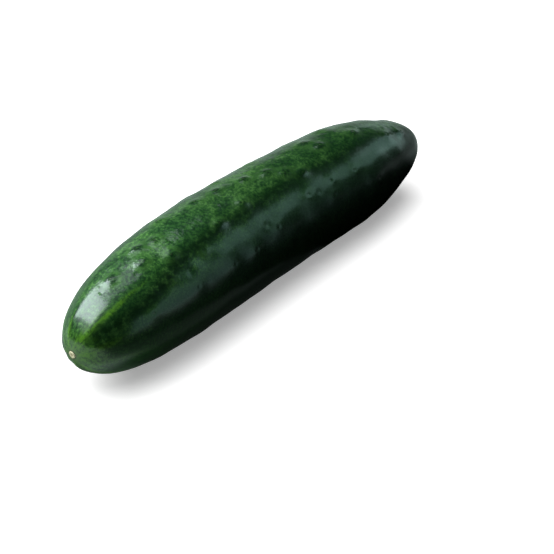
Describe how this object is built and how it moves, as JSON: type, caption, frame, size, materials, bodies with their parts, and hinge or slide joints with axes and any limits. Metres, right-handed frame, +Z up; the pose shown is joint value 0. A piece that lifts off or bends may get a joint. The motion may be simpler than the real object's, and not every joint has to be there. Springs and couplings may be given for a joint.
{
  "type": "cucumber",
  "caption": "Whole slicing cucumber lying on its side: long tapered fruit with a gentle bow, low ribs from the blossom scar, scattered warts and a sunken stem stub.",
  "frame": {"origin": "under the middle of the fruit's box, on the surface that it rests on", "axes": "+X along the fruit from the blossom end to the stem end, +Y across it towards the side it bows to, +Z up"},
  "size_m": [0.242, 0.0558, 0.0542],
  "materials": {
    "skin": "waxy dark green skin, mottled with lighter green and streaked with yellow-green rays at the blossom end"
  },
  "bodies": {
    "root": {"cucumber": "skin"}
  },
  "joints": []
}
